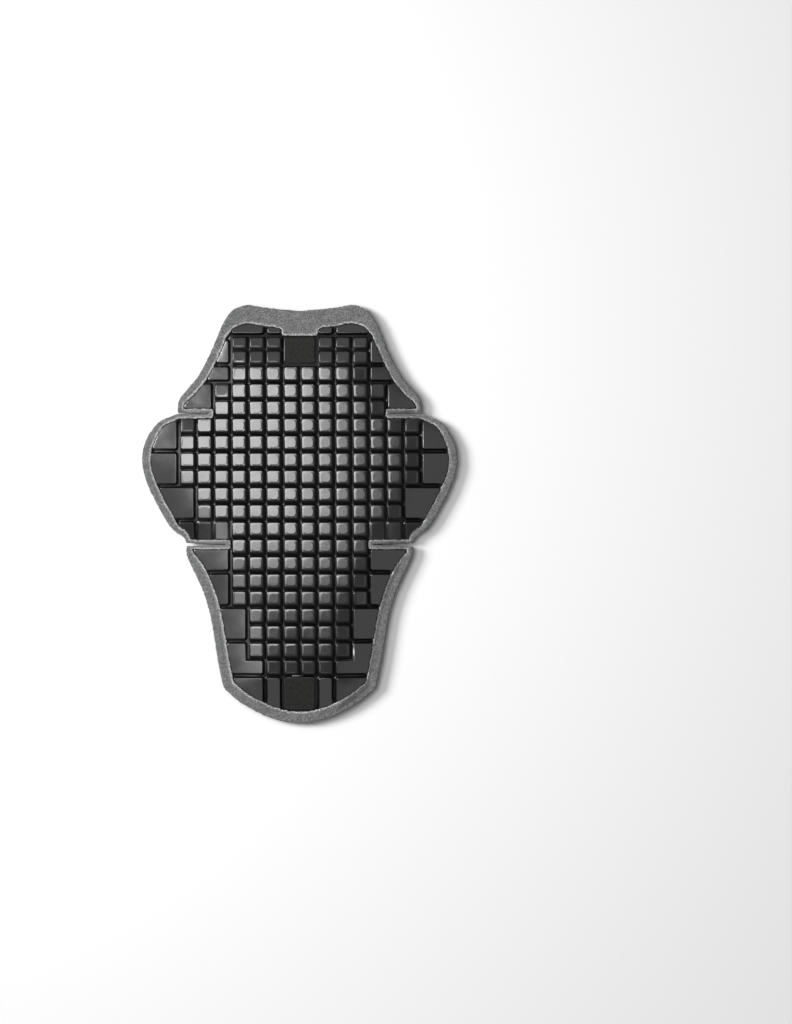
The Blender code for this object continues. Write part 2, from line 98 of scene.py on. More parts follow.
# The outline's tables, in tile pitches from the middle: (across, along)
HEAD_OUTLINE = (
    (0.00, 11.76), (1.20, 11.86), (2.20, 11.98), (3.00, 12.11), (3.50, 12.00), (3.95, 11.76),
    (4.35, 11.22), (4.67, 10.55), (5.10, 9.50), (5.80, 8.12), (6.40, 7.36), (6.93, 6.72),
    (7.06, 6.30),
)
WING_OUTLINE = (
    (7.44, 5.66), (8.15, 5.33), (8.72, 4.64), (9.03, 3.94), (9.13, 3.10), (8.98, 2.20),
    (8.57, 1.16), (7.83, -0.23), (7.32, -0.93), (6.79, -1.28),
)
FOOT_OUTLINE = (
    (6.56, -2.30), (6.28, -3.01), (5.62, -4.41), (5.20, -5.80), (4.95, -7.19), (4.73, -8.58),
    (4.42, -9.97), (4.14, -10.32), (3.29, -11.01), (1.95, -11.71), (0.78, -12.05),
    (0.00, -12.11),
)
SLIT_MOUTHS = (7.05, 6.55)
HEAD_CORNER = HEAD_OUTLINE[5][0]
SHELL_TOP_PLACES = np.arange(1.4, 3.85, 0.1)

# Rows of tiles from the head down. Each line: rows, tiles from the middle to one side, rim tile
ROW_TABLE = (
    (2, 4, 1), (1, 4, 2), (2, 5, 3), (2, 7, 4), (2, 7, 5), (2, 6, 6), (1, 6, 7),
    (2, 4, 8), (2, 4, 9), (2, 3, 10), (1, 3, 11), (1, 2, 11),
)
UPPER_SLIT_ROW = 5
LOWER_SLIT_ROW = 12
PATCH_ROWS = 2
LABEL_COLUMNS = 1.5
LOW_TILES_FROM = 4

# Walls round a small tile, which lean more on its right and its lower side. Each line: share of
# the groove's depth, then how far out of the deepest line on the left, right, top and bottom,
# in groove widths
WALL_LOOPS = (
    (0.000, 0.000, 0.000, 0.0000, 0.000), (0.002, 0.017, 0.017, 0.0005, 0.002),
    (0.008, 0.034, 0.032, 0.0020, 0.006), (0.020, 0.052, 0.046, 0.0050, 0.015),
    (0.045, 0.075, 0.066, 0.0110, 0.033), (0.090, 0.100, 0.105, 0.0225, 0.069),
    (0.250, 0.140, 0.229, 0.0625, 0.190), (0.550, 0.190, 0.438, 0.1375, 0.420),
    (0.850, 0.225, 0.646, 0.2125, 0.640),
)
SHORT_SIDE = 0.25             # the deepest line's place between two tiles
LONG_SIDE = 0.75
TILE_CORNER = 0.0018          # radius of a small tile's corners

# Tops of the small tiles: (inset from the tile's edge, corner radius, drop below the top)
TILE_LOOPS = (
    (0.00000, 0.00180, 0.00042), (0.00007, 0.00174, 0.00031), (0.00015, 0.00168, 0.00024),
    (0.00023, 0.00160, 0.00019), (0.00031, 0.00155, 0.00016), (0.00040, 0.00150, 0.000145),
    (0.00052, 0.00180, 0.000137), (0.00068, 0.00225, 0.00012), (0.00140, 0.00285, 0.00003),
    (0.00170, 0.00300, 0.00000),
)
CORNER_STEPS = 4

# Walls of the rim tiles and bands: (share of the groove's width, share of its depth)
RIM_WALL = ((0.50, 0.0), (0.46, 0.02), (0.40, 0.09), (0.22, 0.42), (0.05, 0.80))
RIM_ROUND = 0.0007            # radius of their top edges
RIM_TILTS = (62, 48, 36, 26, 18, 11, 5, 0)  # of the loops round those edges, in degrees
RIM_CORE = 0.0017             # the rim tiles' outline is drawn this far out from a core
RIM_GAP = 0.0007              # between a rim tile and the foam
RIM_BEND = 0.35               # how much of the crown's bend a rim tile keeps
TILE_LEAN = 0.006             # slope by which small tiles differ
PATCH_OVERHANG = 0.0014       # of a patch over the tile that carries it
GLOSS, SHADED_GROOVE = 0, 1          # the shell's material slots; the groove slot holds a darker, less reflective copy of the plastic, painted shade

# Scar of the mould's gate: corners of its box from the middle of the groove, and its loops,
# each with its inset and its height over the groove's floor
GATE_LOW = (-0.0078, -0.0010)
GATE_HIGH = (0.0037, 0.0008)
GATE_CORNER = 0.0006
GATE_LOOPS = ((0.0, 0.0004), (0.0001, 0.0015), (0.0003, 0.0018), (0.0005, 0.0019))

# Distances between the points of each surface
BAND_SPACING = 0.0011
BED_SPACING = 0.006
SKIN_SPACING = 0.0045
BACK_SPACING = 0.004
PANEL_SPACING = 0.0014
OUTLINE_SPACING = 0.0012
POCKET_SPACING = 0.001
SHELL_EDGE_SPACING = 0.002

# Finish of the foam
OUTLINE_WAVE = 0.0006         # how far the cut edge strays
POCKET_WAVE = 0.0009          # how far the lip beside the shell strays
WAVE_SIZE = 0.0022
SLIT_WAVE = 0.4               # share of that beside a slit
SLIT_SIDE = 0.003
FRONT_ROUND = 0.0008          # width of the front edge's rounding
FRONT_DROP = 0.0004
FRONT_SLOPE = 0.004           # width of the soft slope inside it
SLOPE_DROP = 0.0003
NAP_HEIGHT = 0.00016
NAP_SIZE = 0.0016
LIP_HEIGHT = 0.0005           # of the bead beside the shell
LIP_WIDTH = 0.0012
LIP_GRAIN = 0.0013
LIP_MARK = 0.0014             # width of the pale line on it: pale frayed fibres with a painted highlight
SLIT_FADE = 0.5               # how much weaker the bead is beside a slit
SLIT_REACH = 0.006
EDGE_LOOPS = (0.25, 0.5, 0.75)  # shares of the pad's edge, from the back up
EDGE_BULGE = 0.0002
UNDER_PANELS = 0.0010         # of the back's foam, over the flange's underside at most

# Panels of the back
PANEL_BORDER = 0.0012         # between a panel and the pad's edge
PANEL_CORNER = 0.0006
PANEL_LOOPS = (0.0004, 0.0010)
PANEL_MARGIN = 0.0019
PANEL_ROUND = 0.0010          # width of a panel's rounded edge
PANEL_DROP = 0.0008
PANEL_NAP = 0.00010
PANEL_NAP_SIZE = 0.0018
LABEL_NAP = 0.2               # share of that on the label's place
PANEL_OVERLAP = 0.0004

# Studs of the back: radius and height of each loop, from the plate down to the tip
STUD_LOOPS = (
    (0.00375, 0.0029), (0.00345, 0.00262), (0.00328, 0.0022), (0.00300, 0.00140),
    (0.00235, 0.00062), (0.00130, 0.00014),
)
STUD_SIDES = 12
STUD_GAP = 0.0005

# Patches: inset and drop of each loop, from the foot of the walls up
PATCH_LOOPS = ((0.0, 0.0010), (0.0, 0.0004), (0.0002, 0.00012), (0.0005, 0.0))
PATCH_CORNER = 0.0009
GRAIN_SPACING = 0.0009
GRAIN_HEIGHT = 0.00007
GRAIN_SIZE = 0.0011

# Lights, each a soft panel: name, place, target, width and height, brightness in a mirror
LIGHTS = (
    ("softbox", (-0.29, 0.18, 1.0), (-0.29, 0.18, 0.0), (0.62, 0.48), 6.8),
    ("low_softbox", (-0.41, -0.23, 1.0), (-0.41, -0.23, 0.0), (0.42, 0.34), 2.2),
    ("key", (-6.26, 1.88, 4.24), (0.0, 0.0, 0.0), (2.6, 2.6), 47.0),
)
FILL_SIDES = ((1, 0), (0, 1), (-1, 0), (0, -1))
FILL_REACH = 1.25
FILL_HEIGHT = 1.8
FILL_SIZE = (2.0, 0.9)
FILL_BRIGHTNESS = 0.42
WORLD_STRENGTH = 0.22
FLOOR_REACH = 6.0
CAMERA_PLACE = (0.0962, 0.002, 5.0)
CAMERA_SENSOR = 36.0          # in millimetres
VIEW_HEIGHT = 1.024           # of the picture, at the height of the crown's middle
VIEW_LEVEL = 0.008


def row_edges():
    """Heights of the lines between the rows, from the head down."""
    edge = (FULL_ROWS_TOP + sum(SLOPED_ROWS)) * TILE_PITCH
    edges = [edge]
    for height in SLOPED_ROWS + (1,) * FULL_ROWS:
        edges.append(edges[-1] - height * TILE_PITCH)
    return edges


ROW_EDGES = row_edges()
HALF_COLUMNS = [0] + [half for rows, half, _ in ROW_TABLE for _ in range(rows)]
RIM_TILE = [0] + [rim for rows, _, rim in ROW_TABLE for _ in range(rows)]
LAST_ROW = len(HALF_COLUMNS) - 1
UPPER_SLIT = ROW_EDGES[UPPER_SLIT_ROW] + UPPER_SLIT_RISE
LOWER_SLIT = ROW_EDGES[LOWER_SLIT_ROW] - LOWER_SLIT_DROP
UPPER_NOTCH = HALF_COLUMNS[UPPER_SLIT_ROW] * TILE_PITCH
LOWER_NOTCH = HALF_COLUMNS[LOWER_SLIT_ROW + 1] * TILE_PITCH
LABEL_END = ROW_EDGES[LAST_ROW - 1] - LABEL_LENGTH


def smooth_path(points):
    """Points on a smooth curve through the given ones."""
    path = []
    for index in range(len(points) - 1):
        before = points[max(index - 1, 0)]
        start = points[index]
        end = points[index + 1]
        after = points[min(index + 2, len(points) - 1)]
        for step in range(STEPS):
            t = step / STEPS
            path.append(tuple(
                0.5 * (2 * b + (c - a) * t + (2 * a - 5 * b + 4 * c - d) * t ** 2
                       + (3 * b - a - 3 * c + d) * t ** 3)
                for a, b, c, d in zip(before, start, end, after)))
    path.append(tuple(points[-1]))
    return path


def pitches(points):
    """Points in tile pitches, as metres."""
    return [(x * TILE_PITCH, y * TILE_PITCH) for x, y in points]


def slit_mouths():
    """The four corners of the slits' mouths on one side, from the head down."""
    upper, lower = (mouth * TILE_PITCH for mouth in SLIT_MOUTHS)
    return [
        (upper, UPPER_SLIT + SLIT_GAP / 2), (upper, UPPER_SLIT - SLIT_GAP / 2),
        (lower, LOWER_SLIT + LOWER_SLIT_MOUTH / 2), (lower, LOWER_SLIT - LOWER_SLIT_MOUTH / 2),
    ]


MOUTHS = slit_mouths()
HEAD_PATH = smooth_path(pitches(HEAD_OUTLINE) + [MOUTHS[0]])
WING_PATH = smooth_path([MOUTHS[1]] + pitches(WING_OUTLINE) + [MOUTHS[2]])
FOOT_PATH = smooth_path([MOUTHS[3]] + pitches(FOOT_OUTLINE))
TOP_PATH = [point for point in HEAD_PATH if point[0] <= HEAD_CORNER * TILE_PITCH]
SIDE_PATH = HEAD_PATH[len(TOP_PATH):] + WING_PATH + FOOT_PATH
SIDE_X = np.array([point[0] for point in SIDE_PATH])
SIDE_Y = np.array([-point[1] for point in SIDE_PATH])
TOP_X = np.array([point[0] for point in TOP_PATH])
TOP_Y = np.array([point[1] for point in TOP_PATH])


def shoulder(reach, width, rounding):
    """How much of the crown's rise is reached at one distance from the border."""
    return 1.0 - (1.0 - np.clip(reach / width, 0.0, 1.0)) ** rounding


def crown(x, y):
    """Height of the tile tops over one place of the pad, or over many."""
    x = np.asarray(x, float)
    y = np.asarray(y, float)
    side = np.interp(-y, SIDE_Y, SIDE_X) - WING_BORDER - np.abs(x)
    head = HEAD_OUTLINE[0][1] * TILE_PITCH - HEAD_BORDER - y
    foot = y - FOOT_OUTLINE[-1][1] * TILE_PITCH - FOOT_BORDER
    share = np.minimum(
        shoulder(side, SIDE_SHOULDER, SHOULDER_ROUNDING),
        np.minimum(shoulder(head, HEAD_SHOULDER, 1.0),
                   shoulder(foot, FOOT_SHOULDER, SHOULDER_ROUNDING)))
    return CROWN_EDGE + (CROWN_TOP - CROWN_EDGE) * share


def slit_path(mouth, tip, slit, far_mouth):
    """Both sides of a slit, in from one corner of its mouth and out to the other."""
    path = []
    for corner, side in ((mouth, 1), (far_mouth, -1)):
        stretch = [
            (corner[0] + (tip - corner[0]) * share,
             corner[1] + (slit + side * SLIT_GAP / 2 - corner[1]) * share)
            for share in np.linspace(0.05, 1.0, 20)
        ]
        path += stretch if side > 0 else stretch[::-1]
    return path


def pad_half():
    """Right half of the pad's outline, from the head down."""
    return (HEAD_PATH
            + slit_path(MOUTHS[0], UPPER_NOTCH + LIP, UPPER_SLIT, MOUTHS[1])
            + WING_PATH
            + slit_path(MOUTHS[2], LOWER_NOTCH + LIP, LOWER_SLIT, MOUTHS[3])
            + FOOT_PATH)


def inset_path(path, width):
    """A path of the pad's outline, moved in by its border, which narrows beside the slits."""
    moved = []
    for index, (x, y) in enumerate(path):
        ahead = path[min(index + 1, len(path) - 1)]
        behind = path[max(index - 1, 0)]
        along = Vector((ahead[0] - behind[0], ahead[1] - behind[1])).normalized()
        if x == 0.0:
            along = Vector((-1.0, 0.0))
        near = min(abs(y - UPPER_SLIT), abs(y - LOWER_SLIT))
        border = LIP + (width - LIP) * min(1.0, near / LIP_RUN)
        point = (x + along.y * border, y - along.x * border)
        if min(math.dist(point, other) for other in path) > 0.97 * border:
            moved.append(point)
    return moved


def between(path, high, low):
    """The part of a path between two heights, with its ends on them."""
    kept = []
    for (x0, y0), (x1, y1) in zip(path, path[1:]):
        for limit in (high, low):
            if (y0 - limit) * (y1 - limit) < 0:
                kept.append((x0 + (x1 - x0) * (limit - y0) / (y1 - y0), limit))
        if low < y1 < high:
            kept.append((x1, y1))
    return kept


def notch_path(end, slit):
    """The shell's edge round the inner end of a slit."""
    turn = LIP * 0.5
    path = []
    for side in (1, -1):
        arc = [(end + turn - turn * math.sin(angle),
                slit + side * (LIP - turn + turn * math.cos(angle)))
               for angle in np.linspace(0.0, math.pi / 2, 5)]
        path += arc if side > 0 else arc[::-1]
    return path


def shell_half():
    """Right half of the pocket that the shell lies in, from the head down."""
    top = ROW_EDGES[0]
    tab = TILE_PITCH
    corner = float(np.interp(tab, TOP_X, TOP_Y)) - HEAD_BORDER
    path = [(tab, top)]
    for step in range(1, TAB_STEPS + 1):
        angle = math.pi / 2 * step / TAB_STEPS
        path.append((tab + TAB_ROUND * (1 - math.cos(angle)),
                     top + (corner - top) * math.sin(angle)))
    for across in SHELL_TOP_PLACES:
        x = across * TILE_PITCH
        path.append((x, float(np.interp(x, TOP_X, TOP_Y)) - HEAD_BORDER))
    path += between(inset_path(HEAD_PATH, SHOULDER_BORDER), top, UPPER_SLIT + LIP)
    path += notch_path(UPPER_NOTCH, UPPER_SLIT)
    wing = inset_path(WING_PATH, WING_BORDER)
    path += between(wing, UPPER_SLIT - LIP, LOWER_SLIT + LIP)
    path += notch_path(LOWER_NOTCH, LOWER_SLIT)
    foot = inset_path(FOOT_PATH, FOOT_BORDER)
    path += between(foot[:-1], LOWER_SLIT - LIP, foot[-1][1]) + [foot[-1]]
    return path


def whole(half_path, step=SHORTEST_STEP):
    """A whole outline from its right half, without steps shorter than one length."""
    half = half_path[:1]
    for point in half_path[1:]:
        if math.dist(point, half[-1]) > step:
            half.append(point)
    return [(-x, y) for x, y in half if x > 1e-6] + half[::-1]


def resampled(loop, spacing):
    """Evenly spaced points on a closed outline."""
    points = np.array(loop + loop[:1])
    steps = np.linalg.norm(np.diff(points, axis=0), axis=1)
    places = np.concatenate(([0.0], np.cumsum(steps)))
    wanted = np.linspace(0.0, places[-1], int(places[-1] / spacing), endpoint=False)
    return [(float(np.interp(w, places, points[:, 0])), float(np.interp(w, places, points[:, 1])))
            for w in wanted]


def sheet(half_path):
    """A flat face inside an outline, given by its right half."""
    mesh = bmesh.new()
    face = mesh.faces.new([mesh.verts.new((x, y, 0.0)) for x, y in whole(half_path)])
    face.normal_update()
    if face.normal.z < 0:
        face.normal_flip()
    return mesh


def cut(mesh, columns, rows):
    """Cut a flat sheet along lines across it and up it."""
    lines = [(x * TILE_PITCH, 0.0, (1, 0, 0)) for x in columns]
    lines += [(0.0, y, (0, 1, 0)) for y in rows]
    for x, y, normal in lines:
        geometry = mesh.verts[:] + mesh.edges[:] + mesh.faces[:]
        bmesh.ops.bisect_plane(
            mesh, geom=geometry, dist=1e-6, plane_co=(x, y, 0.0), plane_no=normal)
    bmesh.ops.remove_doubles(mesh, verts=mesh.verts[:], dist=SHORTEST_STEP)


def merge(mesh, key_at):
    """Join the faces of a cut sheet that have the same key, and return each face's key."""
    keys = {}
    for face in mesh.faces:
        centre = face.calc_center_median()
        keys[face.index] = key_at(centre.x, centre.y)
    inner = [edge for edge in mesh.edges if len(edge.link_faces) == 2
             and keys[edge.link_faces[0].index] == keys[edge.link_faces[1].index]]
    marks = mesh.faces.layers.int.new("key")
    names = sorted(set(keys.values()), key=str)
    for face in mesh.faces:
        face[marks] = names.index(keys[face.index])
    bmesh.ops.dissolve_edges(mesh, edges=inner, use_verts=True)
    return {face: names[face[marks]] for face in mesh.faces}


def row_at(y):
    """Row of tiles at one height: 0 is the head band, and past the last row the foot band."""
    return sum(1 for edge in ROW_EDGES if y < edge)


def row_beside_slits(x, y):
    """Row of a place in the rim, where the slits part the rows instead of the tile lines."""
    row = row_at(y)
    if abs(x) > UPPER_NOTCH and row == UPPER_SLIT_ROW and y < UPPER_SLIT:
        return row + 1
    if abs(x) > LOWER_NOTCH and row == LOWER_SLIT_ROW + 1 and y > LOWER_SLIT:
        return row - 1
    return row


def tile_key(x, y):
    """Which tile of the shell one place belongs to."""
    row = row_beside_slits(x, y)
    side = math.copysign(1, x)
    column = math.floor(x / TILE_PITCH)
    if row == 0 or row > LAST_ROW:
        band = "head" if row == 0 else "foot"
        across = min(int(abs(x) / TILE_PITCH), 2)
        return (band, "patch") if across == 0 else (band, across, side)
    if abs(x) > HALF_COLUMNS[row] * TILE_PITCH:
        return ("rim", RIM_TILE[row], side)
    if row <= PATCH_ROWS and abs(x) < TILE_PITCH:
        return ("head", "patch")
    if row == LOWER_SLIT_ROW and abs(x) > LOW_TILES_FROM * TILE_PITCH:
        return ("low", column, side)
    return ("tile", row, column)


def panel_key(x, y):
    """Which panel of the back one place belongs to, or its field of studs."""
    row = row_at(y)
    side = math.copysign(1, x)
    if abs(x) < LABEL_COLUMNS * TILE_PITCH and LABEL_END < y < ROW_EDGES[LAST_ROW - 1]:
        return ("label",)
    if row == 0:
        across = min(int(abs(x) / TILE_PITCH), 2)
        return ("head", across, side if across else 0)
    if row > LAST_ROW:
        return ("foot", side if abs(x) > 2 * TILE_PITCH else 0)
    if abs(x) < HALF_COLUMNS[row] * TILE_PITCH:
        return ("studs",)
    return ("rim", RIM_TILE[row_beside_slits(x, y)], side)


def meeting(first, first_along, second, second_along):
    """Where two lines meet, or a place between them if they are parallel."""
    cross = first_along.cross(second_along)
    if abs(cross) < PARALLEL:
        return second
    return first + first_along * ((second - first).cross(second_along) / cross)


def inset_corners(points, widths):
    """Corners of a flat outline whose edges move in by their own widths, without the edges
    that are too short to be left."""
    count = len(points)
    along = [(points[(i + 1) % count] - points[i]).normalized() for i in range(count)]
    moved = [points[i] + Vector((-along[i].y, along[i].x)) * widths[i] for i in range(count)]
    kept = list(range(count))
    while len(kept) > 2:
        corners = [meeting(moved[kept[k - 1]], along[kept[k - 1]], moved[edge], along[edge])
                   for k, edge in enumerate(kept)]
        lengths = [(corners[(k + 1) % len(kept)] - corners[k]).dot(along[edge])
                   for k, edge in enumerate(kept)]
        shortest = lengths.index(min(lengths))
        if lengths[shortest] > 0.0002:
            return corners
        kept.pop(shortest)
    return None


def grown(core, distance):
    """A rounded outline at one distance outside a core outline, always as many points."""
    loop = []
    count = len(core)
    for i in range(count):
        before = (core[i] - core[i - 1]).normalized()
        after = (core[(i + 1) % count] - core[i]).normalized()
        turn = math.atan2(before.cross(after), before.dot(after))
        start = Vector((before.y, -before.x))
        if turn < math.radians(12):
            bisector = (start + Vector((after.y, -after.x))).normalized()
            loop.append(core[i] + bisector * distance / max(math.cos(turn / 2), 0.3))
            continue
        steps = max(2, round(turn / math.radians(20)))
        for step in range(steps + 1):
            angle = turn * step / steps
            direction = Vector((start.x * math.cos(angle) - start.y * math.sin(angle),
                                start.x * math.sin(angle) + start.y * math.cos(angle)))
            loop.append(core[i] + direction * distance)
    return loop


def rounded_box(low, high, radius):
    """A box outline with rounded corners, anticlockwise."""
    loop = []
    corners = ((high[0] - radius, high[1] - radius, 0), (low[0] + radius, high[1] - radius, 1),
               (low[0] + radius, low[1] + radius, 2), (high[0] - radius, low[1] + radius, 3))
    for x, y, quarter in corners:
        for step in range(CORNER_STEPS + 1):
            angle = math.pi / 2 * (quarter + step / CORNER_STEPS)
            loop.append(Vector((x + radius * math.cos(angle), y + radius * math.sin(angle))))
    return loop


class Builder:
    """Vertices and faces of one piece, with one value for each vertex."""

    def __init__(self):
        self.points = []
        self.values = []
        self.faces = []
        self.flat = []
        self.slot = 0
        self.slots = []

    def add(self, points, value=0.0):
        """Add points, and return their numbers."""
        start = len(self.points)
        self.points += [tuple(point) for point in points]
        self.values += list(value) if hasattr(value, "__len__") else [value] * len(points)
        return list(range(start, len(self.points)))

    def face(self, numbers, flat=False):
        """Add one face."""
        self.faces.append(tuple(numbers))
        self.flat.append(flat)
        self.slots.append(self.slot)

    def ring(self, lower, upper):
        """Faces between two loops with as many points."""
        count = len(lower)
        for i in range(count):
            j = (i + 1) % count
            self.face((lower[i], lower[j], upper[j], upper[i]))

    def sheet(self, numbers, faces, down=False):
        """Triangles between some points, which face up or down."""
        for face in faces:
            corners = [numbers[i] for i in face]
            self.face(corners[::-1] if down else corners)

    def wall(self, loops, grooved=0):
        """Faces between each loop and the next one, the first few with the grooves' darker
        material, painted shade.
        """
        for number, (lower, upper) in enumerate(zip(loops, loops[1:])):
            self.slot = SHADED_GROOVE if number < grooved else GLOSS
            self.ring(lower, upper)
        self.slot = GLOSS

    def object(self, name, *materials):
        """The piece as an object."""
        mesh = bpy.data.meshes.new(name)
        mesh.from_pydata(self.points, [], self.faces)
        mesh.polygons.foreach_set("use_smooth", [not flat for flat in self.flat])
        mesh.polygons.foreach_set("material_index", self.slots)
        layer = mesh.attributes.new("fray_and_highlight", "FLOAT", "POINT")
        layer.data.foreach_set("value", self.values)
        for material in materials:
            mesh.materials.append(material)
        mesh.validate()
        mesh.update()
        piece = bpy.data.objects.new(name, mesh)
        bpy.context.scene.collection.objects.link(piece)
        return piece


def rough(x, y, z, size, depth=3):
    """Seedless noise from -1 to 1 at one place."""
    place = Vector((x, y, z)) / size
    total = 0.0
    share = 1.0
    for _ in range(depth):
        total += share * noise.noise(place)
        place = place * 2.1
        share *= 0.5
    return total


def sampled_tree(loop, spacing):
    """A search tree of evenly spaced points on an outline."""
    samples = resampled(loop, spacing)
    tree = KDTree(len(samples))
    for index, (x, y) in enumerate(samples):
        tree.insert((x, y, 0.0), index)
    tree.balance()
    return tree


def nearest(loop):
    """A function that gives the distances of many points from an outline."""
    tree = sampled_tree(loop, 0.0005)
    return lambda points: np.array([tree.find((p[0], p[1], 0.0))[2] for p in points])


def inside(points, loop):
    """Which of many points lie inside an outline."""
    points = np.asarray(points)
    result = np.zeros(len(points), bool)
    px, py = points[:, 0], points[:, 1]
    corners = np.asarray(loop)
    for (x0, y0), (x1, y1) in zip(corners, np.roll(corners, -1, axis=0)):
        if y0 == y1:
            continue
        crosses = (py > y0) != (py > y1)
        result ^= crosses & (px < (x1 - x0) * (py - y0) / (y1 - y0) + x0)
    return result


def scattered(loop, spacing):
    """Points of a slightly uneven grid over an outline's box."""
    corners = np.asarray(loop)
    low, high = corners.min(0), corners.max(0)
    rows = np.arange(low[1], high[1], spacing * 0.866)
    points = []
    for number, y in enumerate(rows):
        for x in np.arange(low[0] + spacing * 0.5 * (number % 2), high[0], spacing):
            dx = noise.noise(Vector((x, y, 0.1)) * 700)
            dy = noise.noise(Vector((x, y, 5.1)) * 700)
            points.append((x + dx * spacing * 0.3, y + dy * spacing * 0.3))
    return points


def field_inside(loop, spacing, margin):
    """Points scattered inside an outline, no nearer to it than a margin."""
    field = np.array(scattered(loop, spacing))
    field = field[inside(field, loop)]
    if len(field):
        field = field[nearest(loop)(field) > margin]
    return [tuple(point) for point in field]


def triangles(loops, points):
    """Triangles inside the first of some outlines, through all their points and others."""
    places = [Vector(point) for loop in loops for point in loop]
    edges = []
    start = 0
    for loop in loops:
        count = len(loop)
        edges += [(start + i, start + (i + 1) % count) for i in range(count)]
        start += count
    places += [Vector(point) for point in points]
    made, _, faces, origins, _, _ = delaunay_2d_cdt(places, edges, [], 1, 1e-7)
    sources = [origin[0] if origin else -1 for origin in origins]
    return made, faces, sources


def moved_in(loop, distance):
    """A closed anticlockwise outline, moved in a little."""
    points = [Vector(point) for point in loop]
    result = []
    for i, point in enumerate(points):
        before = (point - points[i - 1]).normalized()
        after = (points[(i + 1) % len(points)] - point).normalized()
        normal = Vector((-before.y - after.y, before.x + after.x)).normalized()
        result.append(tuple(point + normal * distance))
    return result


def anticlockwise(loop):
    """The outline turned anticlockwise."""
    area = sum(a[0] * b[1] - b[0] * a[1] for a, b in zip(loop, loop[1:] + loop[:1]))
    return loop if area > 0 else loop[::-1]


def border(numbers, sources, loop):
    """The numbers of an outline's own points, where triangles were made inside it."""
    made = dict(zip(sources, numbers))
    return [made[i] for i in range(len(loop))]


def plane_under(points):
    """The plane that fits the crown best over some points: height at the origin, slopes."""
    points = np.array([(p[0], p[1]) for p in points])
    heights = crown(points[:, 0], points[:, 1])
    matrix = np.column_stack((np.ones(len(points)), points))
    return np.linalg.lstsq(matrix, heights, rcond=None)[0]


def on_plane(plane, point):
    """Height of a plane at one place."""
    return plane[0] + plane[1] * point[0] + plane[2] * point[1]


def holder(outline):
    """A function that moves points which lie outside an outline onto it."""
    tree = sampled_tree(outline, 0.0003)

    def hold(rings):
        points = [point for ring in rings for point in ring]
        held = inside([(point.x, point.y) for point in points], outline)
        for point, is_inside in zip(points, held):
            if not is_inside:
                place = tree.find((point.x, point.y, 0.0))[0]
                point.x, point.y = place.x, place.y
        return rings

    return hold


def small_tile(builder, row, column, hold):
    """One small tile: leaning walls, a crisp edge and a low raised middle."""
    x0 = column * TILE_PITCH + GROOVE_WIDTH / 2
    x1 = (column + 1) * TILE_PITCH - GROOVE_WIDTH / 2
    y1 = ROW_EDGES[row - 1] - GROOVE_WIDTH / 2
    y0 = ROW_EDGES[row] + GROOVE_WIDTH / 2
    middle = ((x0 + x1) / 2, (y0 + y1) / 2)
    plane = plane_under([(x, y) for x in (x0, middle[0], x1) for y in (y0, middle[1], y1)])
    for slope in (1, 2):
        lean = TILE_LEAN * rough(x0, y0, slope, 0.05, 1)
        plane[slope] += lean
        plane[0] -= lean * middle[slope - 1]
    rings = []
    for _, left, right, top, bottom in WALL_LOOPS:
        low = (x0 - (SHORT_SIDE - left) * GROOVE_WIDTH, y0 - (LONG_SIDE - bottom) * GROOVE_WIDTH)
        high = (x1 + (LONG_SIDE - right) * GROOVE_WIDTH, y1 + (SHORT_SIDE - top) * GROOVE_WIDTH)
        rings.append(rounded_box(low, high, TILE_CORNER))
    loops = []
    for ring, (share, *_) in zip(hold(rings), WALL_LOOPS):
        points = []
        for point in ring:
            floor = float(crown(point.x, point.y)) - TILE_HEIGHT
            points.append((point.x, point.y, floor + (on_plane(plane, point) - floor) * share))
        loops.append(builder.add(points))
    widest = 0.48 * min(x1 - x0, y1 - y0)
    for edge, radius, drop in TILE_LOOPS:
        outline = rounded_box((x0 + edge, y0 + edge), (x1 - edge, y1 - edge),
                              min(radius, widest - edge))
        loops.append(builder.add(
            [(point.x, point.y, on_plane(plane, point) - drop) for point in outline], 1.0))
    builder.wall(loops, len(WALL_LOOPS))
    builder.face(loops[-1], flat=True)
    builder.face(loops[0][::-1])


def rim_loops():
    """Loops of a rim tile: (inset from its edge, share of the groove's depth, drop)."""
    for out, share in RIM_WALL:
        yield -out * GROOVE_WIDTH, share, 0.0
    steepest = math.sin(math.radians(RIM_TILTS[0]))
    for degrees in RIM_TILTS:
        tilt = math.radians(degrees)
        yield RIM_ROUND * (steepest - math.sin(tilt)), 1.0, RIM_ROUND * (1.0 - math.cos(tilt))


